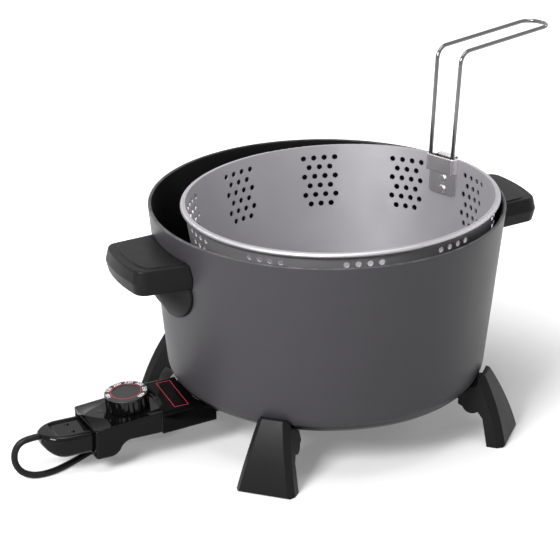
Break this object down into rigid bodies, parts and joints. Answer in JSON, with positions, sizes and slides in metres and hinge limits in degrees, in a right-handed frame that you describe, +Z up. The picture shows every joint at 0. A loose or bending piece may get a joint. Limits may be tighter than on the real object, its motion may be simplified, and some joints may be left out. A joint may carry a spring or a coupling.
{
  "type": "multicooker",
  "caption": "Open electric multicooker: tapered pot on moulded legs, side handles, lift-out perforated basket with wire handle, plug-in heat control with dial and breakaway lead.",
  "frame": {"origin": "on the pot's axis, on the table plane under the legs", "axes": "+Z up, the heat control plugs in from -X, the handles lie along X"},
  "size_m": [0.5274, 0.2918, 0.2919],
  "materials": {
    "pot_metal": "satin dark coating outside, black non-stick inside, bare rim",
    "bare_aluminium": "satin",
    "moulded_plastic": "fine matte",
    "gloss_black": "glossy",
    "plain_steel": "plain",
    "bright_steel": "bright rolled",
    "wire_chrome": "polished",
    "contact_brass": "plain",
    "cord_rubber": "smooth matte"
  },
  "bodies": {
    "kettle": {"pot_shell": "pot_metal", "heating_element": "plain_steel", "terminal_pins": "contact_brass", "probe_sleeve": "bare_aluminium", "left_handle": "moulded_plastic", "right_handle": "moulded_plastic", "handle_studs": "plain_steel", "handle_screws": "plain_steel", "leg_front_left": "moulded_plastic", "leg_front_right": "moulded_plastic", "leg_back_left": "moulded_plastic", "leg_back_right": "moulded_plastic", "leg_screws": "plain_steel"},
    "basket": {"basket_shell": "bare_aluminium", "basket_bracket": "bright_steel", "bracket_rivets": "plain_steel"},
    "basket_handle": {"wire_handle": "wire_chrome"},
    "heat_control": {"control_lower_housing": "moulded_plastic", "control_upper_housing": "gloss_black", "control_hood": "gloss_black", "temperature_probe": "plain_steel", "terminal_sockets": "contact_brass", "thermostat_block": "moulded_plastic", "housing_screws": "plain_steel", "receptacle_pins": "contact_brass", "receptacle_magnet": "plain_steel"},
    "dial": {"dial_knob": "gloss_black", "dial_shaft": "plain_steel"},
    "cord_plug": {"plug_upper_shell": "gloss_black", "plug_lower_shell": "gloss_black", "plug_contacts": "contact_brass", "plug_magnet": "plain_steel", "cord_bushing": "cord_rubber", "cord_lead": "cord_rubber", "cord_coil": "cord_rubber", "cord_tail": "cord_rubber", "coil_tie": "cord_rubber", "wall_plug": "cord_rubber", "plug_blades": "contact_brass"}
  },
  "joints": [
    {"name": "basket_lift", "type": "slide", "parent": "kettle", "child": "basket", "axis": [0, 0, 1], "range_m": [0, 0.17]},
    {"name": "handle_lift", "type": "slide", "parent": "basket", "child": "basket_handle", "axis": [0.0941, 0.068, 0.9932], "range_m": [0, 0.03]},
    {"name": "control_pull", "type": "slide", "parent": "kettle", "child": "heat_control", "axis": [-1, 0, 0], "range_m": [0, 0.06]},
    {"name": "dial_turn", "type": "hinge", "parent": "heat_control", "child": "dial", "pos_m": [-0.18, 0, 0.04324], "axis": [-0.1026, 0, 0.9947], "range_deg": [0, 270]},
    {"name": "plug_pull", "type": "slide", "parent": "heat_control", "child": "cord_plug", "axis": [-1, 0, 0], "range_m": [0, 0.03]}
  ]
}
